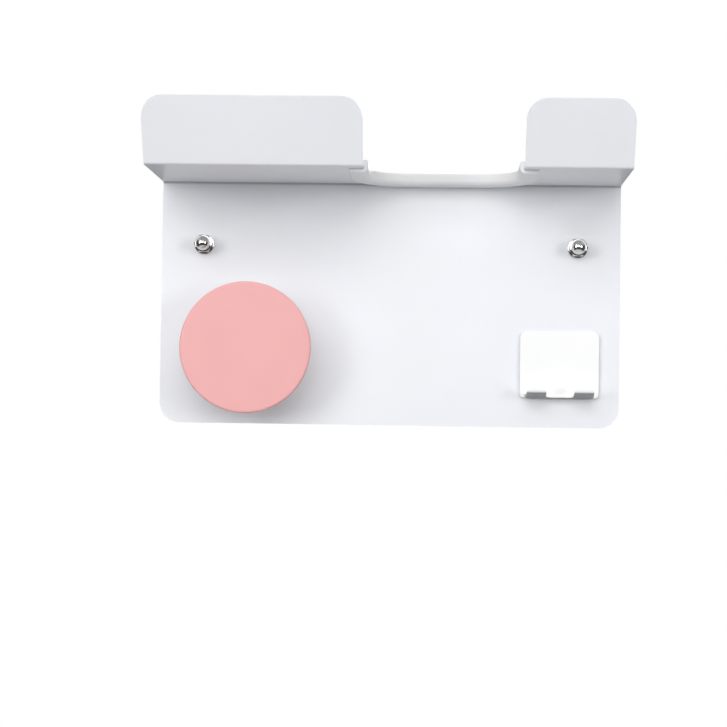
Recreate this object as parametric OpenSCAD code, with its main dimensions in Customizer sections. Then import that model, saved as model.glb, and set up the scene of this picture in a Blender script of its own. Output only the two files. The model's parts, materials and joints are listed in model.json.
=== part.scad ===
// Wall-mounted hair dryer holder: a bent steel sheet whose slotted shelf has a soft edge
// guard, with a turning cord winder and a small forked hook, hung on two adhesive-backed
// studs with cap nuts.
// The wall is the plane Y = 0, the holder stands out towards -Y, and the origin lies
// midway between the two studs.

/* [Sheet] */
// Width of the bent sheet
sheet_w = 270; // [264:1:300]
// Thickness of the sheet
sheet_t = 1.2; // [1:0.1:1.5]
// Height of the shelf's underside above the studs
shelf_z = 37; // [33:1:45]
// Depth of the shelf, from the plate's front face to the foot of the lips
shelf_d = 80; // [72:1:90]
// How far the plate reaches below the studs
plate_drop = 105.4; // [104:0.2:125]
// Radius of the lips' and the plate's corners
corner_r = 12; // [6:1:14]
// Radius inside each bend
bend_r = 0.8; // [0.5:0.1:0.8]

/* [Lips] */
// Width of the left lip
left_lip_w = 121.5; // [112:0.5:125]
// Height of the lips' tops above the shelf's underside
lip_h = 36; // [30:0.5:45]
// Lean of the lips away from the wall, in degrees
lip_lean = 27; // [10:1:30]

/* [Slot] */
// Width of the slot between the lips
slot_w = 89; // [80:1:92]
// Distance from the plate's front face to the back of the slot
slot_back = 9; // [9:0.2:16]
// Radius of the slot's two inner corners
slot_r = 26.4; // [18:0.2:32]

/* [Edge guard] */
// Thickness of the guard's wall inside the slot
guard_wall = 2.4; // [1.6:0.1:3]
// How far the guard grips over the shelf
guard_grip = 8.2; // [6:0.1:8.2]
// Thickness of the guard under the shelf
guard_drop = 2.1; // [1.6:0.1:2.6]
// Height of the guard's bead above the shelf
guard_rise = 3.6; // [3:0.1:4.5]
// Distance from the guard's ends to the foot of the lips
guard_gap = 8; // [2:0.5:14]

/* [Wall studs] */
// Distance between the two studs
stud_pitch = 220; // [210:1:220]
// Diameter over a stud's thread
stud_d = 5.9; // [5:0.1:6]
// Side of a square adhesive pad
pad_w = 48; // [40:1:50]
// Thickness of an adhesive pad
pad_t = 0.8; // [0.6:0.1:1.2]
// Thickness of a stud's round base
base_t = 2; // [2:0.1:3]
// Diameter of a stud's round base
base_d = 26; // [20:1:34]
// Width across the flats of a cap nut
nut_af = 10; // [9:0.5:11]

/* [Cord winder] */
// Distance of the winder's axis to the left of the middle
winder_x = 82.3; // [70:0.1:88]
// Distance of the winder's axis below the studs
winder_z = 61.5; // [60:0.5:64]
// Diameter of the front disc
disc_d = 76; // [70:1:80]
// Thickness of the front disc
disc_t = 3.6; // [3:0.1:5]
// Outer diameter of the drum
drum_d = 57.4; // [50:0.2:60]
// Length of the drum
drum_l = 24; // [20:1:30]

/* [Hook] */
// Width of the hook plate
hook_w = 46; // [46:1:52]
// Overall height of the hook plate
hook_h = 39.2; // [34:0.2:44]
// Distance of the hook's middle to the right of the middle
hook_x = 100; // [90:0.5:105]
// Distance of the hook's top below the studs
hook_top = 49; // [46:0.5:54]
// Width of a prong
prong_w = 11.6; // [9:0.1:12]
// Space between the two prongs
prong_space = 16; // [12:0.5:16]
// Length of a prong's straight part
prong_run = 11.5; // [8:0.5:12]
// Slope of a prong, in degrees
prong_slope = 12; // [5:1:14]
// Height of a prong's tip above the hook's lowest point
prong_h = 6.4; // [6:0.2:10]

/* [Hidden] */
$fn = 96;
overshoot = 1;                                     // how far cutting shapes run past
arc_steps = 8;                                     // straight steps in each small arc

// Layers, as distances from the wall
plate_back = pad_t + base_t;
plate_front = plate_back + sheet_t;
shelf_front = plate_front + shelf_d;

// Bent sheet
half_w = sheet_w / 2;
lip_top = shelf_z + lip_h;
bend_out = bend_r + sheet_t;                       // radius outside each bend
bend_run = bend_out * tan((90 - lip_lean) / 2);    // shelf length that the lips' bend takes
lip_foot = shelf_front - bend_run;                 // where the flat shelf ends
slot_x = -half_w + left_lip_w + slot_w / 2;        // middle of the slot
slot_back_y = -(plate_front + slot_back);          // back edge of the slot
slot_turn_y = slot_back_y - slot_r;                // centres of the slot's corners
slot_turn_x = slot_w / 2 - slot_r;

// Edge guard
groove_fit = 0.1;                                  // gap between the slot's edge and the guard's groove
guard_nose_r = 3;                                  // rounding from the guard's underside to its wall
bead_r = 1.5;                                      // rounding of the bead along the wall's top
guard_edge_r = 0.8;                                // rounding of the guard's outer edges
guard_edge_t = 1.2;                                // thickness of the guard's upper outer edge

// Studs and cap nuts
stud_x = stud_pitch / 2;
stud_play = 0.6;                                   // holes round the studs are wider by this
washer_t = 1.2;
washer_d = 11.8;
nut_back = plate_front + washer_t;
nut_hex_h = 5;
dome_r = 4.3;
dome_start = nut_back + nut_hex_h + 2.4;           // where the straight neck turns into the dome
nut_bore_end = dome_start + 0.8;
stud_end = nut_bore_end - 0.9;
fit = 0.05;                                        // radial clearance of the running fits

// Winder
screw_d = 4;
hole_play = 0.4;                                   // holes round the screw and the bush are wider by this
screw_head_d = 8;
screw_head_h = 2.1;
drum_wall = 2.4;
drum_floor = 3;
hub_washer_t = 0.8;
hub_washer_d = 24;
side_play = 0.1;                                   // free play at each face of the drum's floor
drum_back = plate_front + hub_washer_t + side_play;
drum_front = drum_back + drum_l;
bush_end = drum_back + drum_floor + side_play;
bush_d = 8;
m4_washer_t = 1;
m4_washer_d = 14;
m4_nut_h = 3.2;
m4_nut_af = 7;
m4_nut_back = bush_end + m4_washer_t;
screw_end = m4_nut_back + m4_nut_h + 1.4;
spigot_l = 4;

// Hook
tape_t = 0.8;
hook_t = 1.2;
hook_back = plate_front + tape_t;
hook_front = hook_back + hook_t;
tape_inset = 3;                                    // from the plate's edges to the tape
hook_low = -hook_top - hook_h;
hook_corner_r = 4;
tab_rise = 0.2;                                    // lower edge of the plate above the prongs' bend
tab_corner_r = 2;
slit_w = 0.6;
fork_w = 2 * prong_w + prong_space;                // width across both prongs
fork_in = 1;                                       // radius inside the prongs' bends
fork_out = fork_in + hook_t;
root_d = 3;                                        // depth of the strip that joins the prongs
prong_corner_r = 2.4;

white = [0.93, 0.93, 0.95];
bright_white = [0.98, 0.98, 0.98];
pink = [0.95, 0.71, 0.70];
nickel = [0.78, 0.78, 0.80];

// Points along an arc in equal steps, from one angle to another
function arc(centre, r, from, to, steps = arc_steps) =
    [for (i = [0:steps]) centre + r * [cos(from + (to - from) * i / steps),
                                       sin(from + (to - from) * i / steps)]];
function reversed(list) = [for (i = [len(list) - 1:-1:0]) list[i]];

// Extrudes a side outline, given as [Y, Z], along X from x0 to x1
module side_slab(x0, x1)
    translate([x0, 0, 0]) rotate([90, 0, 90]) linear_extrude(x1 - x0) children();

// Puts a shape made along +Z on an axis at x, z that stands out from the wall
module on_wall(x, z) translate([x, 0, z]) rotate([90, 0, 0]) children();

// What is cut away outside a rounded corner at x, z that points towards side, up
module corner_cut(x, z, side, up, r)
    translate([x - side * r, overshoot, z - up * r])
        rotate([90, 0, 0])
            linear_extrude(shelf_front + lip_h)
                difference() {
                    translate([min(0, side * (r + overshoot)), min(0, up * (r + overshoot))])
                        square(r + overshoot);
                    circle(r);
                }

// Outline of the bent sheet from the side, at a distance in behind its front face
function sheet_line(in) =
    let (lip_r = bend_out - in,
         bend_end = arc([-lip_foot, shelf_z + bend_out], lip_r, 270, 180 + lip_lean)[arc_steps],
         run = (lip_top - bend_end[1]) / cos(lip_lean))
    concat([[-plate_front + in, -plate_drop]],
           arc([-plate_front - bend_r, shelf_z - bend_r], bend_r + in, 0, 90),
           arc([-lip_foot, shelf_z + bend_out], lip_r, 270, 180 + lip_lean),
           [bend_end + run * [-sin(lip_lean), cos(lip_lean)]]);

module bent_strip()
    side_slab(-half_w, half_w)
        polygon(concat(sheet_line(0), reversed(sheet_line(sheet_t))));

// Section of the edge guard: distance out from the slot's edge, height above the underside
module guard_section() {
    top = sheet_t + guard_rise;
    edge_top = sheet_t + guard_edge_t;
    polygon(concat(arc([guard_nose_r - guard_wall, guard_nose_r - guard_drop], guard_nose_r, 270, 180),
                   arc([bead_r - guard_wall, top - bead_r], bead_r, 180, 80),
                   arc([guard_grip - guard_edge_r, edge_top - guard_edge_r], guard_edge_r, 80, 0),
                   [[guard_grip, sheet_t], [-groove_fit, sheet_t], [-groove_fit, 0], [guard_grip, 0]],
                   arc([guard_grip - guard_edge_r, guard_edge_r - guard_drop], guard_edge_r, 0, -90)));
}

// U-shaped channel moulding pressed over the edge of the slot
module edge_guard() color(bright_white) translate([slot_x, 0, shelf_z]) {
    for (side = [0, 1]) mirror([side, 0, 0]) {
        // straight side
        translate([slot_w / 2, slot_turn_y, 0]) rotate([90, 0, 0])
            linear_extrude(lip_foot - guard_gap + slot_turn_y) guard_section();
        // corner
        translate([slot_turn_x, slot_turn_y, 0])
            rotate_extrude(angle = 90) translate([slot_r, 0]) guard_section();
    }
    // back
    translate([-slot_turn_x, slot_back_y, 0]) rotate([90, 0, 90])
        linear_extrude(2 * slot_turn_x) guard_section();
}

module holder_plate() color(white) {
    difference() {
        bent_strip();
        // slot with rounded inner corners
        translate([slot_x - slot_w / 2, -shelf_front - lip_h, shelf_z - overshoot])
            cube([slot_w, shelf_front + lip_h + slot_turn_y, lip_h + 2 * overshoot]);
        translate([slot_x, 0, shelf_z - overshoot]) {
            translate([-slot_turn_x, slot_turn_y - overshoot, 0])
                cube([2 * slot_turn_x, slot_r + overshoot, sheet_t + 2 * overshoot]);
            for (side = [-1, 1])
                translate([side * slot_turn_x, slot_turn_y, 0])
                    cylinder(h = sheet_t + 2 * overshoot, r = slot_r);
        }
        // rounded corners
        for (side = [-1, 1]) {
            corner_cut(side * half_w, lip_top, side, 1, corner_r);
            corner_cut(slot_x + side * slot_w / 2, lip_top, -side, 1, corner_r);
            corner_cut(side * half_w, -plate_drop, side, -1, corner_r);
        }
        // holes for the studs and the winder's screw
        for (side = [-1, 1])
            on_wall(side * stud_x, 0) cylinder(h = plate_front + overshoot, d = stud_d + stud_play);
        on_wall(-winder_x, -winder_z) cylinder(h = plate_front + overshoot, d = screw_d + hole_play);
    }
}

module adhesive_pad(side) color([0.86, 0.88, 0.88])
    on_wall(side * stud_x, 0)
        linear_extrude(pad_t)
            difference() {
                square(pad_w, center = true);
                for (turn = [0:90:270])
                    rotate(turn) translate([pad_w / 2 - 6, pad_w / 2 - 6])
                        difference() {
                            square(6 + overshoot);
                            circle(6);
                        }
            }

module stud_base(side) color(nickel)
    on_wall(side * stud_x, 0) rotate_extrude()
        polygon([[0, pad_t], [base_d / 2, pad_t], [base_d / 2, plate_back - 0.6],
                 [base_d / 2 - 0.6, plate_back], [0, plate_back]]);

module wall_stud(side) color(nickel)
    on_wall(side * stud_x, 0) rotate_extrude()
        polygon([[0, plate_back], [stud_d / 2, plate_back], [stud_d / 2, stud_end - 0.7],
                 [stud_d / 2 - 0.7, stud_end], [0, stud_end]]);

module nut_washer(side) color(nickel)
    on_wall(side * stud_x, 0) translate([0, 0, plate_front])
        difference() {
            cylinder(h = washer_t, d = washer_d);
            translate([0, 0, -overshoot])
                cylinder(h = washer_t + 2 * overshoot, d = stud_d + stud_play);
        }

module cap_nut(side) color(nickel)
    on_wall(side * stud_x, 0)
        difference() {
            union() {
                // hexagon with its corners turned down
                intersection() {
                    translate([0, 0, nut_back])
                        cylinder(h = nut_hex_h, d = nut_af / cos(30), $fn = 6);
                    rotate_extrude()
                        polygon([[0, nut_back], [nut_af / 2, nut_back],
                                 [nut_af / 2 + 0.9, nut_back + 0.5],
                                 [nut_af / 2 + 0.9, nut_back + nut_hex_h - 0.5],
                                 [nut_af / 2 - 0.1, nut_back + nut_hex_h], [0, nut_back + nut_hex_h]]);
                }
                // neck and dome
                rotate_extrude()
                    polygon(concat([[0, nut_back + nut_hex_h - overshoot],
                                    [dome_r, nut_back + nut_hex_h - overshoot]],
                                   arc([0, dome_start], dome_r, 0, 90)));
            }
            translate([0, 0, nut_back - overshoot])
                cylinder(h = nut_bore_end - nut_back + overshoot, d = stud_d + 2 * fit);
        }

// Disc with a domed rim and a spigot ring that plugs into the drum
module winder_disc() color(pink)
    on_wall(-winder_x, -winder_z) rotate_extrude()
        polygon(concat([[0, drum_front]],
                       [[drum_d / 2 - drum_wall - 2.1, drum_front],
                        [drum_d / 2 - drum_wall - 2.1, drum_front - spigot_l],
                        [drum_d / 2 - drum_wall - 0.1, drum_front - spigot_l],
                        [drum_d / 2 - drum_wall - 0.1, drum_front]],
                       arc([disc_d / 2 - 0.8, drum_front + 0.8], 0.8, 270, 360),
                       arc([disc_d / 2 - 1.2, drum_front + disc_t - 1.2], 1.2, 0, 90),
                       [[0, drum_front + disc_t]]));

// Cup-shaped drum that the cord is wound on, open under the disc
module winder_hub() color(bright_white)
    on_wall(-winder_x, -winder_z)
        difference() {
            translate([0, 0, drum_back]) cylinder(h = drum_l, d = drum_d);
            translate([0, 0, drum_back + drum_floor])
                cylinder(h = drum_l, d = drum_d - 2 * drum_wall);
            translate([0, 0, drum_back - overshoot])
                cylinder(h = drum_floor + 2 * overshoot, d = bush_d + 2 * fit);
        }

// Flat ring between two distances from the wall, on the winder's axis
module winder_ring(from, to, outer_d, inner_d)
    on_wall(-winder_x, -winder_z) translate([0, 0, from])
        difference() {
            cylinder(h = to - from, d = outer_d);
            translate([0, 0, -overshoot])
                cylinder(h = to - from + 2 * overshoot, d = inner_d);
        }

module hub_washer() color([0.9, 0.9, 0.88])
    winder_ring(plate_front, plate_front + hub_washer_t, hub_washer_d, bush_d + hole_play);
module winder_bush() color([0.2, 0.2, 0.21])
    winder_ring(plate_front, bush_end, bush_d, screw_d + 2 * fit);
module winder_washer() color(nickel)
    winder_ring(bush_end, m4_nut_back, m4_washer_d, screw_d + hole_play);

module winder_screw() color(nickel)
    on_wall(-winder_x, -winder_z)
        difference() {
            rotate_extrude()
                polygon([[0, plate_back - screw_head_h], [screw_head_d / 2 - 1, plate_back - screw_head_h],
                         [screw_head_d / 2, plate_back - 1], [screw_head_d / 2, plate_back],
                         [screw_d / 2, plate_back], [screw_d / 2, screw_end - 0.5],
                         [screw_d / 2 - 0.5, screw_end], [0, screw_end]]);
            translate([0, 0, plate_back - screw_head_h - overshoot])
                cylinder(h = overshoot + 1.3, d = 2.5 / cos(30), $fn = 6);
        }

module winder_nut() color(nickel)
    on_wall(-winder_x, -winder_z) translate([0, 0, m4_nut_back])
        difference() {
            cylinder(h = m4_nut_h, d = m4_nut_af / cos(30), $fn = 6);
            translate([0, 0, -overshoot])
                cylinder(h = m4_nut_h + 2 * overshoot, d = screw_d + 2 * fit);
        }

// Side outline of a prong: from the plate round a bend, up the slope and up to the tip
module prong_section() {
    root = [-hook_front - fork_in, hook_low + fork_out];
    slope = [-cos(prong_slope), sin(prong_slope)];
    turn = root + prong_run * slope;
    tip = [turn[0] - fork_in, hook_low + prong_h];
    polygon(concat([[-hook_back, root[1] + overshoot], [-hook_front, root[1] + overshoot]],
                   arc(root, fork_in, 360, 270 - prong_slope),
                   arc(turn, fork_in, 270 - prong_slope, 180),
                   [tip, tip - [hook_t, 0]],
                   arc(turn, fork_out, 180, 270 - prong_slope),
                   arc(root, fork_out, 270 - prong_slope, 360)));
}

// Fork whose two prongs stand out from the plate's lower edge, with the root at x = 0
module fork() difference() {
    side_slab(-fork_w / 2, fork_w / 2) prong_section();
    // space between the prongs, with rounded inner corners
    translate([0, -hook_front - root_d - prong_corner_r, hook_low - overshoot]) {
        translate([-prong_space / 2, -2 * prong_run, 0])
            cube([prong_space, 2 * prong_run, prong_h + 2 * overshoot]);
        translate([prong_corner_r - prong_space / 2, -overshoot, 0])
            cube([prong_space - 2 * prong_corner_r, prong_corner_r + overshoot, prong_h + 2 * overshoot]);
        for (side = [-1, 1])
            translate([side * (prong_space / 2 - prong_corner_r), 0, 0])
                cylinder(h = prong_h + 2 * overshoot, r = prong_corner_r);
    }
    // rounded corners of the tips
    for (side = [-1, 1])
        translate([0, -hook_front - prong_run, 0]) {
            corner_cut(side * fork_w / 2, hook_low + prong_h, side, 1, prong_corner_r);
            corner_cut(side * prong_space / 2, hook_low + prong_h, -side, 1, prong_corner_r);
        }
}

// Plate with a fork slit free of its lower edge and bent forwards
module accessory_hook() color(bright_white) translate([hook_x, 0, 0]) {
    difference() {
        translate([-hook_w / 2, -hook_front, hook_low + tab_rise])
            cube([hook_w, hook_t, hook_h - tab_rise]);
        for (side = [-1, 1]) {
            corner_cut(side * hook_w / 2, -hook_top, side, 1, hook_corner_r);
            corner_cut(side * hook_w / 2, hook_low + tab_rise, side, -1, tab_corner_r);
        }
        translate([-fork_w / 2 - slit_w, -hook_front - overshoot, hook_low - overshoot])
            cube([fork_w + 2 * slit_w, hook_t + 2 * overshoot, fork_out + overshoot]);
    }
    fork();
}

module hook_tape() color([0.75, 0.76, 0.78])
    translate([hook_x - hook_w / 2 + tape_inset, -hook_back, hook_low + fork_out + tape_inset])
        cube([hook_w - 2 * tape_inset, tape_t, hook_h - fork_out - 2 * tape_inset]);

holder_plate();
edge_guard();
adhesive_pad(-1);  // left_adhesive_pad
adhesive_pad(1);  // right_adhesive_pad
stud_base(-1);  // left_stud_base
stud_base(1);  // right_stud_base
wall_stud(-1);  // left_wall_stud
wall_stud(1);  // right_wall_stud
nut_washer(-1);  // left_nut_washer
nut_washer(1);  // right_nut_washer
cap_nut(-1);  // left_cap_nut
cap_nut(1);  // right_cap_nut
winder_disc();
winder_hub();
hub_washer();
winder_bush();
winder_screw();
winder_washer();
winder_nut();
accessory_hook();
hook_tape();
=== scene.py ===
"""Looks of a wall-mounted hair dryer holder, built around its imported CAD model."""
import json
import math

import bmesh
import bpy
from mathutils import Matrix, Vector


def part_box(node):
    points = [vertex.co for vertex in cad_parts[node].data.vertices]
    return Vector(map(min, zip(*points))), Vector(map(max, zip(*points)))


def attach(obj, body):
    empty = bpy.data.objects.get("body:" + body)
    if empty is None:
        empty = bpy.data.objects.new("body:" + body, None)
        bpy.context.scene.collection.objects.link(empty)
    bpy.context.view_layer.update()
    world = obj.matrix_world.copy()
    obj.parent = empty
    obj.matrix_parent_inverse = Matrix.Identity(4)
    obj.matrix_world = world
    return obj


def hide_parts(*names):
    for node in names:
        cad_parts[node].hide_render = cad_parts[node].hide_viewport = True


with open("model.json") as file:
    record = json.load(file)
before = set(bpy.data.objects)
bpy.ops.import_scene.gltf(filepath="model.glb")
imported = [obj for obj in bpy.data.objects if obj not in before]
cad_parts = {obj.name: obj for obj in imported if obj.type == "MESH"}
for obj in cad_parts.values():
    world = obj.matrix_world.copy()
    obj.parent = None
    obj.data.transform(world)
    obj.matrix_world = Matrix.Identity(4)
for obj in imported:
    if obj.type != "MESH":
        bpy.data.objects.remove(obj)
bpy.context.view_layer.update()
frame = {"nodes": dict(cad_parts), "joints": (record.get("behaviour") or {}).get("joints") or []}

MM = 0.001

# ---------------------------------------------------------------- sizes
plate_low, plate_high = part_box("holder_plate")
HALF_W = plate_high.x                       # half the sheet's width
PLATE_BACK = -plate_high.y                  # distances from the wall grow towards the front
SHEET_T = 1.2 * MM
PLATE_FRONT = PLATE_BACK + SHEET_T
SHELF_Z = 37 * MM                           # underside of the shelf
SHELF_FRONT = PLATE_FRONT + 80 * MM
LIP_TOP = plate_high.z
LIP_LEAN = math.radians(27)
BEND_IN = 0.8 * MM                          # radius inside each bend
BEND_OUT = BEND_IN + SHEET_T
LIP_FOOT = SHELF_FRONT - BEND_OUT * math.tan((math.pi / 2 - LIP_LEAN) / 2)
CORNER_R = 12 * MM
SLOT_HALF = 44.5 * MM
SLOT_X = -HALF_W + 121.5 * MM + SLOT_HALF   # middle of the slot
SLOT_BACK = PLATE_FRONT + 9 * MM
SLOT_R = 26.4 * MM
SLOT_TURN_X = SLOT_HALF - SLOT_R
SLOT_TURN = SLOT_BACK + SLOT_R              # the corners' centres, as a distance from the wall
GUARD_FRONT = LIP_FOOT - 8 * MM             # where the edge guard's two ends lie

joint = next(j for j in frame["joints"] if j["name"] == "winder_spin")
WINDER_X, _, WINDER_Z = joint["pos_m"]


# ---------------------------------------------------------------- mesh helpers
def centre_of(node):
    """A CAD node's centre as seen from the front, as (x, z)."""
    low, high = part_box(node)
    return (low.x + high.x) / 2, (low.z + high.z) / 2


def spread(start, end, steps):
    """Evenly spaced values from start to end."""
    return [start + (end - start) * i / steps for i in range(steps + 1)]


def arc(centre, r, start, end, steps):
    """Points on an arc, with angles in degrees."""
    angles = [math.radians(a) for a in spread(start, end, steps)]
    return [(centre[0] + r * math.cos(a), centre[1] + r * math.sin(a)) for a in angles]


class Surface:
    """A mesh made of patches, whose shared edges meet because equal points become one vertex."""

    def __init__(self):
        self.points, self.faces, self.index = [], [], {}

    def vertex(self, point):
        key = tuple(round(c * 1e7) for c in point)
        if key not in self.index:
            self.index[key] = len(self.points)
            self.points.append(tuple(point))
        return self.index[key]

    def patch(self, rows, ring=False):
        """Quads between rows of equally many points; ring joins each row's end to its start."""
        grid = [[self.vertex(p) for p in row] for row in rows]
        for low, high in zip(grid, grid[1:]):
            n = len(low)
            for i in range(n if ring else n - 1):
                k = (i + 1) % n
                face = []
                for v in (low[i], low[k], high[k], high[i]):
                    if v not in face:
                        face.append(v)
                if len(face) > 2:
                    self.faces.append(face)

    def build(self, name, outward=None):
        """The mesh object, with its normals out of a closed form, or along outward on the first face."""
        mesh = bpy.data.meshes.new(name)
        mesh.from_pydata(self.points, [], self.faces)
        bm = bmesh.new()
        bm.from_mesh(mesh)
        bmesh.ops.recalc_face_normals(bm, faces=bm.faces)
        bm.faces.ensure_lookup_table()
        if outward is not None and bm.faces[0].normal.dot(Vector(outward)) < 0:
            bmesh.ops.reverse_faces(bm, faces=bm.faces)
        bm.to_mesh(mesh)
        bm.free()
        mesh.shade_smooth()
        piece = bpy.data.objects.new(name, mesh)
        bpy.context.scene.collection.objects.link(piece)
        return piece


def round_edges(piece, width, segments=3, angle=40):
    """Rounds the edges that turn by more than the angle, and keeps the flats shaded flat."""
    bevel = piece.modifiers.new("rounded_edges", "BEVEL")
    bevel.width = width
    bevel.segments = segments
    bevel.limit_method = "ANGLE"
    bevel.angle_limit = math.radians(angle)
    normals = piece.modifiers.new("flat_normals", "WEIGHTED_NORMAL")
    normals.keep_sharp = True
    normals.weight = 80


def thicken(piece, thickness):
    """Gives an open surface its thickness, on the side away from its normals."""
    solid = piece.modifiers.new("thickness", "SOLIDIFY")
    solid.thickness = thickness
    solid.offset = -1
    solid.use_even_offset = True
    solid.use_quality_normals = True


def fillet(profile, radii, steps=5):
    """An outline with its corners rounded: radii maps a corner's place in the list to its radius."""
    out = []
    for i, p in enumerate(profile):
        if i not in radii:
            out.append(tuple(p))
            continue
        corner = Vector(p)
        back = (Vector(profile[i - 1]) - corner).normalized()
        ahead = (Vector(profile[(i + 1) % len(profile)]) - corner).normalized()
        half = back.angle(ahead) / 2
        reach = radii[i] / math.tan(half)
        start, end = corner + back * reach, corner + ahead * reach
        centre = corner + (back + ahead).normalized() * (radii[i] / math.sin(half))
        a, b = start - centre, end - centre
        turn = a.angle_signed(b)
        for k in range(steps + 1):
            out.append(tuple(centre + Matrix.Rotation(-turn * k / steps, 2) @ a))
    return out


def lathe(name, profile, x, z, segments=96, closed=False):
    """Turns (radius, distance from the wall) points about an axis that stands out from the wall at x, z."""
    surface = Surface()
    angles = [2 * math.pi * i / segments for i in range(segments)]
    rows = [[(x + r * math.cos(a), -h, z + r * math.sin(a)) for a in angles] for r, h in profile]
    surface.patch(rows + rows[:1] if closed else rows, ring=True)
    return surface.build(name)


def settle(piece):
    """Makes a piece's modifiers part of its mesh."""
    graph = bpy.context.evaluated_depsgraph_get()
    graph.update()
    mesh = bpy.data.meshes.new_from_object(piece.evaluated_get(graph))
    piece.modifiers.clear()
    piece.data = mesh


def drill(piece, holes):
    """Cuts round holes, given as (x, z, radius), through the plate."""
    for x, z, r in holes:
        profile = [(0, 0), (r, 0), (r, 2 * PLATE_FRONT), (0, 2 * PLATE_FRONT)]
        cutter = lathe("drill", profile, x, z, 64)
        cut = piece.modifiers.new("hole", "BOOLEAN")
        cut.object = cutter
        cut.solver = "EXACT"
        settle(piece)
        bpy.data.objects.remove(cutter)


# ---------------------------------------------------------------- bent sheet
def eased(start, end, steps):
    """Values from start to end that crowd towards the end."""
    return [start + (end - start) * (1 - (1 - i / steps) ** 1.6) for i in range(steps + 1)]


def plate_rows():
    """(inset of both outer edges, depth, z) up the plate and round its bend, bottom first."""
    rows = []
    for a in spread(0, math.pi / 2, 14):
        rows.append((CORNER_R * (1 - math.sin(a)), PLATE_FRONT, plate_low.z + CORNER_R * (1 - math.cos(a))))
    for z in eased(plate_low.z + CORNER_R, SHELF_Z - BEND_IN, 40)[1:]:
        rows.append((0, PLATE_FRONT, z))
    centre = (PLATE_FRONT + BEND_IN, SHELF_Z - BEND_IN)
    for depth, z in arc(centre, BEND_IN, 180, 90, 5)[1:]:
        rows.append((0, depth, z))
    return rows


def shelf_rows():
    """(half width of the slot, depth) from the slot's back edge to the lips' bend."""
    rows = []
    for a in spread(math.pi / 2, 0, 20):
        rows.append((SLOT_TURN_X + SLOT_R * math.cos(a), SLOT_TURN - SLOT_R * math.sin(a)))
    return rows + [(SLOT_HALF, depth) for depth in spread(SLOT_TURN, LIP_FOOT, 10)[1:]]


def lip_rows():
    """(inset of the rounded ends, depth, z) round the lips' bend and up the lips."""
    turn = math.pi / 2 - LIP_LEAN
    rows = []
    for b in spread(0, turn, 8):
        rows.append((0, LIP_FOOT + BEND_OUT * math.sin(b), SHELF_Z + BEND_OUT * (1 - math.cos(b))))
    _, foot_depth, foot_z = rows[-1]
    top = LIP_TOP - SHEET_T * math.sin(LIP_LEAN)
    heights = [(0, z) for z in spread(foot_z, top - CORNER_R, 6)[1:]]
    heights += [(CORNER_R * (1 - math.cos(a)), top - CORNER_R * (1 - math.sin(a)))
                for a in spread(0, math.pi / 2, 14)[1:]]
    for inset, z in heights:
        rows.append((inset, foot_depth + (z - foot_z) * math.tan(LIP_LEAN), z))
    return rows


def make_sheet():
    """Front and underside of the bent sheet, thickened towards the back and drilled."""
    surface = Surface()
    edge_columns, middle_columns = 34, 24

    # plate, bend and shelf: a part on each side of the slot, and one behind it
    lower = plate_rows()
    for side in (-1, 1):
        outer, inner = side * HALF_W, SLOT_X + side * SLOT_TURN_X
        rows = [[(x, -depth, z) for x in eased(outer - side * inset, inner, edge_columns)]
                for inset, depth, z in lower]
        for half, depth in shelf_rows():
            columns = eased(outer, SLOT_X + side * half, edge_columns)
            rows.append([(x, -depth, SHELF_Z) for x in columns])
        surface.patch(rows)
    middle = spread(SLOT_X - SLOT_TURN_X, SLOT_X + SLOT_TURN_X, middle_columns)
    rows = [[(x, -depth, z) for x in middle] for _, depth, z in lower]
    surface.patch(rows + [[(x, -SLOT_BACK, SHELF_Z) for x in middle]])

    # lips, whose columns go on from the shelf's
    for side in (-1, 1):
        outer, inner = side * HALF_W, SLOT_X + side * SLOT_HALF
        rows = []
        for inset, depth, z in lip_rows():
            columns = eased(outer - side * inset, inner + side * inset, edge_columns)
            rows.append([(x, -depth, z) for x in columns])
        surface.patch(rows)

    piece = surface.build("bent_sheet", outward=(0, -1, 0))
    thicken(piece, SHEET_T)
    settle(piece)
    drill(piece, [(*centre_of("left_wall_stud"), 3.25 * MM), (*centre_of("right_wall_stud"), 3.25 * MM),
                  (WINDER_X, WINDER_Z, 2.2 * MM)])
    round_edges(piece, 0.4 * MM, angle=50)
    return piece


# ---------------------------------------------------------------- edge guard
def guard_section():
    """(distance out from the slot's edge, height above the shelf's underside) round the channel."""
    wall, grip, drop, top = 2.4 * MM, 8.2 * MM, 2.1 * MM, SHEET_T + 3.6 * MM
    nose, bead, edge = 3 * MM, 1.5 * MM, 0.8 * MM
    edge_top, fit = SHEET_T + 1.2 * MM, 0.1 * MM
    section = arc((nose - wall, nose - drop), nose, 270, 180, 12)
    section += arc((bead - wall, top - bead), bead, 180, 80, 8)
    section += arc((grip - edge, edge_top - edge), edge, 80, 0, 6)
    section += [(grip, SHEET_T), (-fit, SHEET_T), (-fit, 0), (grip, 0)]
    return section + arc((grip - edge, edge - drop), edge, 0, -90, 6)


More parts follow.
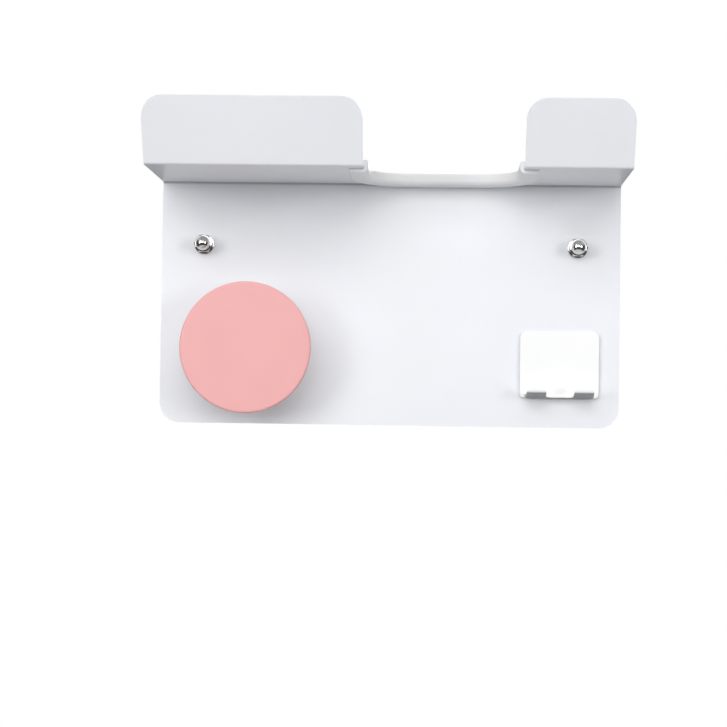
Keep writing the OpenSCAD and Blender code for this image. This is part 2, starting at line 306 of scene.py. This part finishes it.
def make_guard():
    """Channel moulding swept round the slot, with its own closed ends."""
    stations = []
    straight = spread(GUARD_FRONT, SLOT_TURN, 14)
    turns = spread(0, math.pi / 2, 28)
    for depth in straight[:-1]:
        stations.append(lambda u, d=depth: (SLOT_X - SLOT_HALF - u, d))
    for a in turns:
        stations.append(lambda u, a=a: (SLOT_X - SLOT_TURN_X - (SLOT_R + u) * math.cos(a),
                                        SLOT_TURN - (SLOT_R + u) * math.sin(a)))
    for x in spread(SLOT_X - SLOT_TURN_X, SLOT_X + SLOT_TURN_X, 12)[1:-1]:
        stations.append(lambda u, x=x: (x, SLOT_BACK - u))
    for a in reversed(turns):
        stations.append(lambda u, a=a: (SLOT_X + SLOT_TURN_X + (SLOT_R + u) * math.cos(a),
                                        SLOT_TURN - (SLOT_R + u) * math.sin(a)))
    for depth in reversed(straight[:-1]):
        stations.append(lambda u, d=depth: (SLOT_X + SLOT_HALF + u, d))

    surface = Surface()
    rings = []
    for place in stations:
        rings.append([(place(u)[0], -place(u)[1], SHELF_Z + h) for u, h in guard_section()])
    surface.patch(rings, ring=True)
    for end in (rings[0], rings[-1]):
        surface.faces.append([surface.vertex(p) for p in end])
    piece = surface.build("slot_guard")
    round_edges(piece, 0.25 * MM, segments=2, angle=50)
    return piece


# ---------------------------------------------------------------- hook
def make_hook():
    """Plate with a fork slit free of its lower edge: two prongs that slope up to turned-up tips."""
    low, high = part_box("accessory_hook")
    thick, bend, slit, slope = 1.2 * MM, 1 * MM, 0.6 * MM, 12
    half, fork, notch, run = (high.x - low.x) / 2, 19.6 * MM, 8 * MM, 11.5 * MM
    front = -high.y + thick
    centre_x = (low.x + high.x) / 2
    root = (front + bend, low.z + bend + thick)
    turn = (root[0] + run * math.cos(math.radians(slope)), root[1] + run * math.sin(math.radians(slope)))
    tip_z, tip_r, top_r, tab_r = low.z + 6.4 * MM, 2.4 * MM, 4 * MM, 2 * MM
    notch_back, notch_r = front + 3 * MM, 2.4 * MM
    core = notch - notch_r

    def row(xs, depth, z):
        return [(centre_x + x, -depth, z) for x in xs]

    # plate above the fork, in columns that the slits and the fork go on from
    marks = [-half, -fork - slit, -fork, -core, core, fork, fork + slit, half]
    columns = [-half]
    for start, end, n in zip(marks, marks[1:], (3, 1, 12, 8, 12, 1, 3)):
        columns += spread(start, end, n)[1:]
    surface = Surface()
    rows = [row(columns, front, z) for z in spread(root[1], high.z - top_r, 10)]
    for a in spread(0, math.pi / 2, 10)[1:]:
        share = (half - top_r * (1 - math.cos(a))) / half
        rows.append(row([x * share for x in columns], front, high.z - top_r * (1 - math.sin(a))))
    surface.patch(rows)

    # tabs beside the fork
    bottom = low.z + 0.2 * MM
    for side in (-1, 1):
        outer, inner = side * half, side * (fork + slit)
        rows = [row(spread(outer, inner, 3), front, z) for z in (root[1], bottom + tab_r)]
        for a in spread(0, math.pi / 2, 6)[1:]:
            inset = tab_r * (1 - math.cos(a))
            z = bottom + tab_r * (1 - math.sin(a))
            rows.append(row(spread(outer - side * inset, inner, 3), front, z))
        surface.patch(rows)

    # fork: round the bend, up the slope and up to the tips
    path = arc(root, bend, 180, 270 + slope, 8)
    split = len(path)
    first, last = path[-1], arc(turn, bend, 270 + slope, 360, 8)[0]
    depths = [notch_back + notch_r * (1 - math.sin(b)) for b in spread(math.pi / 2, 0, 8)]
    depths += spread(depths[-1], last[0], 4)[1:-1]
    path += [(d, first[1] + (d - first[0]) * math.tan(math.radians(slope))) for d in depths]
    path += arc(turn, bend, 270 + slope, 360, 8)
    path += [(turn[0] + bend, z) for z in spread(turn[1], tip_z, 5)[1:]]
    for side in (-1, 1):
        rows = []
        for depth, z in path:
            inner, inset = core, 0
            if depth > notch_back:
                reach = max(0, notch_r - (depth - notch_back))
                inner = core + math.sqrt(notch_r ** 2 - reach ** 2)
            if depth > turn[0]:
                rise = max(0, z - (tip_z - tip_r))
                inset = tip_r - math.sqrt(max(0, tip_r ** 2 - rise ** 2))
            rows.append(row(spread(side * (fork - inset), side * (inner + inset), 12), depth, z))
        surface.patch(rows)
    surface.patch([row(spread(-core, core, 8), depth, z) for depth, z in path[:split + 1]])

    piece = surface.build("hook_plate", outward=(0, -1, 0))
    thicken(piece, thick)
    round_edges(piece, 0.3 * MM, angle=50)
    return piece


# ---------------------------------------------------------------- round pieces
def make_disc():
    """Front disc with rounded rims, a hollow back and a spigot ring."""
    low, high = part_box("winder_disc")
    front, r = -low.y, (high.x - low.x) / 2
    back = front - 3.6 * MM
    spigot_back, spigot_r = -high.y, 26.2 * MM
    profile = [(0, back + 0.8 * MM), (spigot_r - 3.4 * MM, back + 0.8 * MM), (spigot_r - 2 * MM, back),
               (spigot_r - 2 * MM, spigot_back), (spigot_r, spigot_back), (spigot_r, back),
               (r - 5 * MM, back), (r - 4 * MM, back + 0.35 * MM), (r, back + 0.35 * MM), (r, front),
               (0, front)]
    radii = {3: 0.3 * MM, 4: 0.5 * MM, 8: 0.7 * MM, 9: 1.3 * MM}
    outline = fillet(profile, radii, 6)
    # rings across the flat face, so that its shading stays even
    face = [(r * share, front) for share in (0.93, 0.8, 0.6, 0.4, 0.2)]
    return lathe("winder_disc_cap", outline[:-1] + face + outline[-1:], WINDER_X, WINDER_Z, 160)


def make_drum():
    """Cup-shaped drum with a low flange at each end and a bore in its floor."""
    low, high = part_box("winder_hub")
    back, front, r = -high.y, -low.y, (high.x - low.x) / 2
    wall, floor, bore = 2.4 * MM, 3 * MM, 4.05 * MM
    profile = [(bore, back), (r, back), (r, back + 1.2 * MM), (r - 0.35 * MM, back + 1.7 * MM),
               (r - 0.35 * MM, front - 1.7 * MM), (r, front - 1.2 * MM), (r, front),
               (r - wall, front), (r - wall, back + floor), (bore, back + floor)]
    radii = {0: 0.3 * MM, 1: 0.5 * MM, 3: 0.3 * MM, 4: 0.3 * MM, 6: 0.2 * MM, 7: 0.4 * MM,
             8: 1.2 * MM, 9: 0.3 * MM}
    return lathe("winder_drum", fillet(profile, radii, 4), WINDER_X, WINDER_Z, 160, closed=True)


def make_cap_nut(side):
    """Hexagon with turned-down corners, a neck groove and a dome, over a blind bore."""
    low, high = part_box(f"{side}_cap_nut")
    x, z = centre_of(f"{side}_cap_nut")
    back, top = -high.y, -low.y
    half_flats, hex_h, bore = (high.z - low.z) / 2, 5 * MM, 3 * MM
    corner = half_flats * 1.11
    shoulder, dome_r = half_flats * 0.95, 4.3 * MM
    dome_start = top - dome_r
    bore_end = dome_start + 0.8 * MM
    n = 144
    angles = [2 * math.pi * i / n for i in range(n)]

    def hexagon(a):
        off = (a + math.pi / 6) % (math.pi / 3) - math.pi / 6
        return min(half_flats / math.cos(math.pi / 6 - abs(off)), corner)

    def chamfer(r):
        return max(0, r - shoulder) * math.tan(math.radians(30))

    def ring(radius, height):
        return [(x + radius(a) * math.cos(a), -height(a), z + radius(a) * math.sin(a)) for a in angles]

    def round_ring(r, h):
        return ring(lambda a: r, lambda a: h)

    groove_r = dome_r - 0.25 * MM
    rows = [round_ring(0, bore_end), round_ring(bore, bore_end), round_ring(bore, back + 0.4 * MM),
            round_ring(bore + 0.4 * MM, back), round_ring(shoulder - 0.1 * MM, back),
            ring(hexagon, lambda a: back + 0.12 * MM + chamfer(hexagon(a)))]
    rows += [ring(hexagon, lambda a, s=s: back + chamfer(hexagon(a)) * (1 - 2 * s) + hex_h * s)
             for s in (0.1, 0.35, 0.65, 0.9)]
    rows += [ring(hexagon, lambda a: back + hex_h - 0.02 * MM - chamfer(hexagon(a))),
             round_ring(shoulder, back + hex_h), round_ring(groove_r + 0.1 * MM, back + hex_h),
             round_ring(groove_r, back + hex_h + 0.12 * MM), round_ring(groove_r, back + hex_h + 0.5 * MM),
             round_ring(dome_r, back + hex_h + 0.8 * MM)]
    rows += [round_ring(r, h) for r, h in arc((0, dome_start), dome_r, 0, 90, 16)]
    surface = Surface()
    surface.patch(rows, ring=True)
    piece = surface.build(f"{side}_acorn_nut")
    round_edges(piece, 0.12 * MM, segments=2, angle=24)
    return piece


def make_washer(side):
    low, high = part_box(f"{side}_nut_washer")
    back, front, r, bore = -high.y, -low.y, (high.x - low.x) / 2, 3.25 * MM
    profile = [(bore, back), (r, back), (r, front), (bore, front)]
    outline = fillet(profile, {0: 0.1 * MM, 1: 0.15 * MM, 2: 0.3 * MM, 3: 0.1 * MM}, 3)
    return lathe(f"{side}_flat_washer", outline, *centre_of(f"{side}_nut_washer"), closed=True)


def rounded_slab(name, low, high, corner, waist=0.0, layers=6):
    """A flat pad between two corners, with rounded corners and sides that pull in by waist."""
    x, z = (low.x + high.x) / 2, (low.z + high.z) / 2
    half_x, half_z = (high.x - low.x) / 2, (high.z - low.z) / 2
    outline = []
    for sx, sz, start in ((1, 1, 0), (-1, 1, 90), (-1, -1, 180), (1, -1, 270)):
        outline += arc((sx * (half_x - corner), sz * (half_z - corner)), corner, start, start + 90, 10)

    def ring(depth, inset, share=1.0):
        scale_x, scale_z = (half_x - inset) / half_x * share, (half_z - inset) / half_z * share
        return [(x + px * scale_x, -depth, z + pz * scale_z) for px, pz in outline]

    back, front = -high.y, -low.y
    edge = min(0.15 * MM, (front - back) / 4)
    rows = [ring(back, 0, 0), ring(back, 0, 0.5), ring(back, 3 * edge), ring(back, edge)]
    rows.append(ring(back + edge, 0))
    for t in spread(0, 1, layers)[1:-1]:
        rows.append(ring(back + edge + (front - back - 2 * edge) * t, waist * math.sin(math.pi * t)))
    rows.append(ring(front - edge, 0))
    rows += [ring(front, edge), ring(front, 3 * edge), ring(front, 0, 0.5), ring(front, 0, 0)]
    surface = Surface()
    surface.patch(rows, ring=True)
    return surface.build(name)


def make_stud_base(side):
    low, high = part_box(f"{side}_stud_base")
    back, front, r = -high.y, -low.y, (high.x - low.x) / 2
    profile = [(0, back), (r, back), (r, front - 0.6 * MM), (r - 1.4 * MM, front), (0, front)]
    outline = fillet(profile, {1: 0.15 * MM, 2: 0.4 * MM, 3: 0.6 * MM}, 4)
    return lathe(f"{side}_stud_foot", outline, *centre_of(f"{side}_stud_base"))


# ---------------------------------------------------------------- materials
class Nodes:
    """Builds one material's node tree on object coordinates, in metres."""

    def __init__(self, name):
        self.material = bpy.data.materials.new(name)
        self.material.use_nodes = True
        self.tree = self.material.node_tree
        self.shader = self.tree.nodes["Principled BSDF"]
        self.coord = self.tree.nodes.new("ShaderNodeTexCoord").outputs["Object"]

    def link(self, a, b):
        self.tree.links.new(a, b)

    def stretch(self, scale):
        node = self.tree.nodes.new("ShaderNodeMapping")
        node.inputs["Scale"].default_value = scale
        self.link(self.coord, node.inputs["Vector"])
        return node.outputs["Vector"]

    def noise(self, size, detail=2.0, rough=0.5, vector=None):
        """Noise with features of about the given size, in metres."""
        node = self.tree.nodes.new("ShaderNodeTexNoise")
        node.inputs["Scale"].default_value = 1 / size
        node.inputs["Detail"].default_value = detail
        node.inputs["Roughness"].default_value = rough
        self.link(vector or self.coord, node.inputs["Vector"])
        return node.outputs["Fac"]

    def cells(self, size):
        node = self.tree.nodes.new("ShaderNodeTexVoronoi")
        node.feature = "SMOOTH_F1"
        node.inputs["Scale"].default_value = 1 / size
        self.link(self.coord, node.inputs["Vector"])
        return node.outputs["Distance"]

    def ranged(self, value, low, high, start=0.3, end=0.7):
        node = self.tree.nodes.new("ShaderNodeMapRange")
        node.inputs["From Min"].default_value = start
        node.inputs["From Max"].default_value = end
        node.inputs["To Min"].default_value = low
        node.inputs["To Max"].default_value = high
        self.link(value, node.inputs["Value"])
        return node.outputs["Result"]

    def add(self, a, b):
        node = self.tree.nodes.new("ShaderNodeMath")
        self.link(a, node.inputs[0])
        self.link(b, node.inputs[1])
        return node.outputs[0]

    def colour(self, value, first, second):
        node = self.tree.nodes.new("ShaderNodeMix")
        node.data_type = "RGBA"
        node.inputs[6].default_value = (*first, 1)
        node.inputs[7].default_value = (*second, 1)
        self.link(value, node.inputs[0])
        self.link(node.outputs[2], self.shader.inputs["Base Color"])
        return node.outputs[2]

    def tinted(self, base, tone, share):
        """Goes over from the base colour to the tone as the share rises from 0 to 1."""
        node = self.tree.nodes.new("ShaderNodeMix")
        node.data_type = "RGBA"
        node.inputs[7].default_value = (*tone, 1)
        self.link(share, node.inputs[0])
        self.link(base, node.inputs[6])
        self.link(node.outputs[2], self.shader.inputs["Base Color"])

    def underside(self):
        """1 where the surface faces down, 0 where it stands upright."""
        split = self.tree.nodes.new("ShaderNodeSeparateXYZ")
        self.link(self.tree.nodes.new("ShaderNodeNewGeometry").outputs["Normal"], split.inputs[0])
        return self.ranged(split.outputs["Z"], 1, 0, -0.9, -0.4)

    def near_line(self, depth, z, near, far):
        """1 up to the near distance from a line along X, 0 from the far distance on."""
        place = self.tree.nodes.new("ShaderNodeMapping")
        place.inputs["Location"].default_value = (0, depth, -z)
        place.inputs["Scale"].default_value = (0, 1, 1)
        self.link(self.coord, place.inputs["Vector"])
        reach = self.tree.nodes.new("ShaderNodeVectorMath")
        reach.operation = "LENGTH"
        self.link(place.outputs["Vector"], reach.inputs[0])
        return self.ranged(reach.outputs["Value"], 1, 0, near, far)

    def bump(self, height, depth, strength=1.0, under=None):
        """Bump whose full height difference is depth, in metres; under is the bump below it."""
        node = self.tree.nodes.new("ShaderNodeBump")
        node.inputs["Distance"].default_value = depth
        node.inputs["Strength"].default_value = strength
        self.link(height, node.inputs["Height"])
        if under:
            self.link(under, node.inputs["Normal"])
        return node.outputs["Normal"]

    def finish(self, normal, roughness, **sockets):
        self.link(normal, self.shader.inputs["Normal"])
        self.link(roughness, self.shader.inputs["Roughness"])
        for socket, value in sockets.items():
            self.shader.inputs[socket.replace("_", " ")].default_value = value
        return self.material


def coated_steel(name, first, second, peel, gloss, painted_shade_tone, crease=None):
    """Baked coating with an orange peel, a faint drift in tone and fine rubbing marks.

    Painted shade darkens some places towards the dark tone given, standing in for real shade: the inner
    corner of a bend, given as a crease's distance from the wall and height, or else every underside.
    """
    m = Nodes(name)
    base = m.colour(m.ranged(m.noise(60 * MM, 3), 0, 1), first, second)
    # painted shade: a dark band along the bend's inner crease, or else darkening on every face that looks
    # down
    painted_shade_mask = m.near_line(*crease, 0.5 * MM, 1.6 * MM) if crease else m.underside()
    m.tinted(base, painted_shade_tone, painted_shade_mask)
    rubbed = m.ranged(m.noise(3 * MM, 4, 0.6, m.stretch((0.12, 1, 1))), 0, 0.06, 0.55, 0.75)
    rough = m.add(m.ranged(m.noise(9 * MM, 4), gloss, gloss + 0.08), rubbed)
    wave = m.bump(m.noise(2.4 * MM, 1), peel)
    grain = m.bump(m.cells(0.9 * MM), peel * 0.45, under=wave)
    return m.finish(grain, rough, Specular_IOR_Level=0.5, Coat_Weight=0.12, Coat_Roughness=0.2)


def moulded_plastic(name, first, second, rough, grain, soft=0.0):
    """Moulded plastic with a spark-eroded grain, flow tone and handling marks."""
    m = Nodes(name)
    m.colour(m.ranged(m.noise(30 * MM, 3), 0, 1), first, second)
    marks = m.ranged(m.noise(1.6 * MM, 5, 0.65, m.stretch((1, 1, 0.2))), 0, 0.07, 0.58, 0.78)
    roughness = m.add(m.ranged(m.noise(5 * MM, 3), rough, rough + 0.07), marks)
    coarse = m.bump(m.noise(0.45 * MM, 3, 0.7), grain)
    fine = m.bump(m.cells(0.22 * MM), grain * 0.5, under=coarse)
    return m.finish(fine, roughness, Specular_IOR_Level=0.45, Subsurface_Weight=soft,
                    Subsurface_Scale=1.2 * MM, Subsurface_Radius=(1.0, 0.5, 0.4))


def plated_metal(name, first, second, rough, brushed=0.0):
    """Plated metal: thin tone changes, polishing lines and small dents."""
    m = Nodes(name)
    m.colour(m.ranged(m.noise(7 * MM, 3), 0, 1), first, second)
    lines = m.noise(0.25 * MM, 3, 0.6, m.stretch((1, 0.12, 1)))
    roughness = m.ranged(lines, rough, rough + 0.03 + brushed)
    dents = m.bump(m.noise(1.8 * MM, 2), 0.006 * MM)
    polish = m.bump(lines, (0.0015 + 0.004 * brushed) * MM, under=dents)
    return m.finish(polish, roughness, Metallic=1.0)


def cell_foam(name, first, second):
    """Closed-cell foam: small cells cut open at the sides."""
    m = Nodes(name)
    cells = m.cells(0.5 * MM)
    m.colour(m.ranged(cells, 0, 1, 0.1, 0.6), first, second)
    pits = m.bump(cells, 0.12 * MM)
    return m.finish(pits, m.ranged(m.noise(2 * MM, 3), 0.75, 0.95), Specular_IOR_Level=0.3)


def adhesive_film(name, first, second):
    """Adhesive sheet: embossed diamond net under a slightly wavy gel face."""
    m = Nodes(name)
    m.colour(m.ranged(m.noise(12 * MM, 3), 0, 1), first, second)
    net = m.tree.nodes.new("ShaderNodeTexVoronoi")
    net.distance = "MANHATTAN"
    net.inputs["Scale"].default_value = 1 / (2.2 * MM)
    net.inputs["Randomness"].default_value = 0.0
    m.link(m.coord, net.inputs["Vector"])
    emboss = m.bump(net.outputs["Distance"], 0.08 * MM)
    gel = m.bump(m.noise(6 * MM, 2), 0.1 * MM, under=emboss)
    return m.finish(gel, m.ranged(m.noise(4 * MM, 3), 0.25, 0.45), Specular_IOR_Level=0.5,
                    Transmission_Weight=0.1)


# painted shade: the third colour darkens the inner crease of the plate's bend, where shade falls
POWDER = coated_steel("powder_coat", (0.80, 0.815, 0.85), (0.82, 0.835, 0.87), 0.030 * MM, 0.34,
                      (0.48, 0.49, 0.51), (PLATE_FRONT, SHELF_Z))
# painted shade: the third colour darkens every down-facing face of the hook, so the prongs' undersides look
# shaded
ENAMEL = coated_steel("hook_enamel", (0.90, 0.90, 0.90), (0.92, 0.92, 0.92), 0.018 * MM, 0.30,
                      (0.21, 0.21, 0.22))
PINK = moulded_plastic("pink_plastic", (0.80, 0.405, 0.40), (0.82, 0.42, 0.415), 0.55, 0.020 * MM, 0.08)
DRUM = moulded_plastic("drum_plastic", (0.84, 0.84, 0.84), (0.86, 0.86, 0.86), 0.42, 0.014 * MM, 0.05)
SILICONE = moulded_plastic("silicone", (0.82, 0.82, 0.83), (0.84, 0.84, 0.85), 0.40, 0.006 * MM, 0.08)
NYLON = moulded_plastic("nylon", (0.80, 0.79, 0.74), (0.83, 0.82, 0.78), 0.5, 0.012 * MM, 0.1)
ACETAL = moulded_plastic("acetal", (0.012, 0.012, 0.013), (0.018, 0.018, 0.02), 0.4, 0.01 * MM)
NICKEL = plated_metal("nickel", (0.68, 0.67, 0.65), (0.74, 0.73, 0.71), 0.02)
ZINC = plated_metal("zinc_plate", (0.60, 0.61, 0.64), (0.68, 0.68, 0.69), 0.26, 0.19)
FOAM = cell_foam("foam_tape", (0.55, 0.56, 0.58), (0.68, 0.69, 0.71))
FILM = adhesive_film("adhesive_film", (0.74, 0.76, 0.77), (0.80, 0.81, 0.82))


def dress(piece, material, slot, body, *nodes):
    """Gives a piece its material and says which body it rides on and which nodes it stands for."""
    piece.data.materials.clear()
    piece.data.materials.append(material)
    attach(piece, body)
    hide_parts(*nodes)


# ---------------------------------------------------------------- pieces
dress(make_sheet(), POWDER, "powder_coat", "bracket", "holder_plate")
dress(make_guard(), SILICONE, "silicone", "bracket", "edge_guard")
dress(make_hook(), ENAMEL, "hook_enamel", "bracket", "accessory_hook")
dress(make_disc(), PINK, "pink_plastic", "winder", "winder_disc")
dress(make_drum(), DRUM, "white_plastic", "winder", "winder_hub")
tape = rounded_slab("foam_strip", *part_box("hook_tape"), 1 * MM, waist=0.25 * MM)
dress(tape, FOAM, "foam_tape", "bracket", "hook_tape")
for side in ("left", "right"):
    dress(make_cap_nut(side), NICKEL, "nickel", "bracket", f"{side}_cap_nut")
    dress(make_washer(side), NICKEL, "nickel", "bracket", f"{side}_nut_washer")
    dress(make_stud_base(side), ZINC, "zinc_steel", "bracket", f"{side}_stud_base")
    pad = rounded_slab(f"{side}_pad_film", *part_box(f"{side}_adhesive_pad"), 6 * MM)
    dress(pad, FILM, "adhesive_film", "bracket", f"{side}_adhesive_pad")

kept = {"left_wall_stud": ZINC, "right_wall_stud": ZINC, "winder_screw": ZINC, "winder_nut": ZINC,
        "winder_washer": ZINC, "hub_washer": NYLON, "winder_bush": ACETAL}
for node, material in kept.items():
    shown = frame["nodes"][node]
    shown.data.materials.clear()
    shown.data.materials.append(material)


# ---------------------------------------------------------------- stage
def make_floor():
    surface = Surface()
    angles = [2 * math.pi * i / 96 for i in range(96)]
    rows = [[(r * math.cos(a), r * math.sin(a), FLOOR_Z) for a in angles] for r in spread(0, FLOOR_R, 6)]
    surface.patch(rows, ring=True)
    floor = surface.build("floor", outward=(0, 0, 1))
    m = Nodes("floor_paper")
    m.colour(m.noise(0.4, 2), (0.80, 0.80, 0.80), (0.82, 0.82, 0.82))
    floor.data.materials.append(m.finish(m.bump(m.noise(1.5 * MM, 2), 0.05 * MM), m.noise(0.3, 2)))


def area_light(name, place, width, height, power):
    """A rectangular light that points at the holder, with sizes in metres and power in watts."""
    data = bpy.data.lights.new(name, "AREA")
    data.shape = "RECTANGLE"
    data.size, data.size_y, data.energy = width, height, power
    light = bpy.data.objects.new(name, data)
    light.location = place
    light.rotation_euler = (LIT_POINT - Vector(place)).to_track_quat("-Z", "Y").to_euler()
    bpy.context.scene.collection.objects.link(light)


def make_world():
    """Soft surround that is bright above and dimmer below, with a white background."""
    world = bpy.data.worlds.new("surround")
    bpy.context.scene.world = world
    world.use_nodes = True
    nodes, links = world.node_tree.nodes, world.node_tree.links
    nodes.clear()
    coord = nodes.new("ShaderNodeTexCoord")
    split = nodes.new("ShaderNodeSeparateXYZ")
    links.new(coord.outputs["Generated"], split.inputs[0])
    level = nodes.new("ShaderNodeMapRange")
    level.inputs["From Min"].default_value = SURROUND_HORIZON
    level.inputs["From Max"].default_value = SURROUND_TOP
    level.inputs["To Min"].default_value = SURROUND_BELOW
    level.inputs["To Max"].default_value = SURROUND_ABOVE
    links.new(split.outputs["Z"], level.inputs["Value"])
    soft = nodes.new("ShaderNodeBackground")
    soft.inputs["Color"].default_value = (*SURROUND_TINT, 1)
    links.new(level.outputs["Result"], soft.inputs["Strength"])
    white = nodes.new("ShaderNodeBackground")
    white.inputs["Color"].default_value = (1, 1, 1, 1)
    seen = nodes.new("ShaderNodeLightPath")
    mix = nodes.new("ShaderNodeMixShader")
    links.new(seen.outputs["Is Camera Ray"], mix.inputs[0])
    links.new(soft.outputs[0], mix.inputs[1])
    links.new(white.outputs[0], mix.inputs[2])
    out = nodes.new("ShaderNodeOutputWorld")
    links.new(mix.outputs[0], out.inputs["Surface"])


def make_camera():
    yaw, pitch, roll = (math.radians(a) for a in CAMERA_TURN)
    forward = Vector((math.sin(yaw) * math.cos(pitch), math.cos(yaw) * math.cos(pitch), math.sin(pitch)))
    level = Vector((math.cos(yaw), -math.sin(yaw), 0))
    raised = level.cross(forward)
    right = level * math.cos(roll) + raised * math.sin(roll)
    up = raised * math.cos(roll) - level * math.sin(roll)
    data = bpy.data.cameras.new("camera")
    data.lens = CAMERA_LENS
    data.clip_start = 0.01
    camera = bpy.data.objects.new("camera", data)
    turn = Matrix((right, up, -forward)).transposed()
    camera.matrix_world = Matrix.Translation(CAMERA_PLACE) @ turn.to_4x4()
    bpy.context.scene.collection.objects.link(camera)
    bpy.context.scene.camera = camera


FLOOR_Z, FLOOR_R = -1.5, 1.8
SURROUND_BELOW, SURROUND_ABOVE = 0.08, 0.8
SURROUND_HORIZON, SURROUND_TOP = 0.2, 0.9    # heights on a unit sphere between which it brightens
SURROUND_TINT = (0.98, 0.99, 1.0)
LIT_POINT = Vector((0, 0, -0.03))           # what every light points at
CAMERA_TURN = (-2.24, 1.69, 0.84)           # yaw, pitch and roll, in degrees
CAMERA_PLACE = (0.0311, -1.178, -0.1039)
CAMERA_LENS = 98.9

make_floor()
make_world()
area_light("front_softbox", (-0.30, -1.45, 0.60), 2.0, 1.2, 19)
area_light("left_softbox", (-1.10, -1.15, 0.12), 0.5, 0.6, 5)
area_light("right_softbox", (1.10, -1.15, 0.12), 0.5, 0.6, 6.5)
area_light("back_softbox", (0.30, 1.30, 0.40), 0.8, 0.6, 6)
make_camera()
bpy.context.scene.view_settings.view_transform = "Standard"
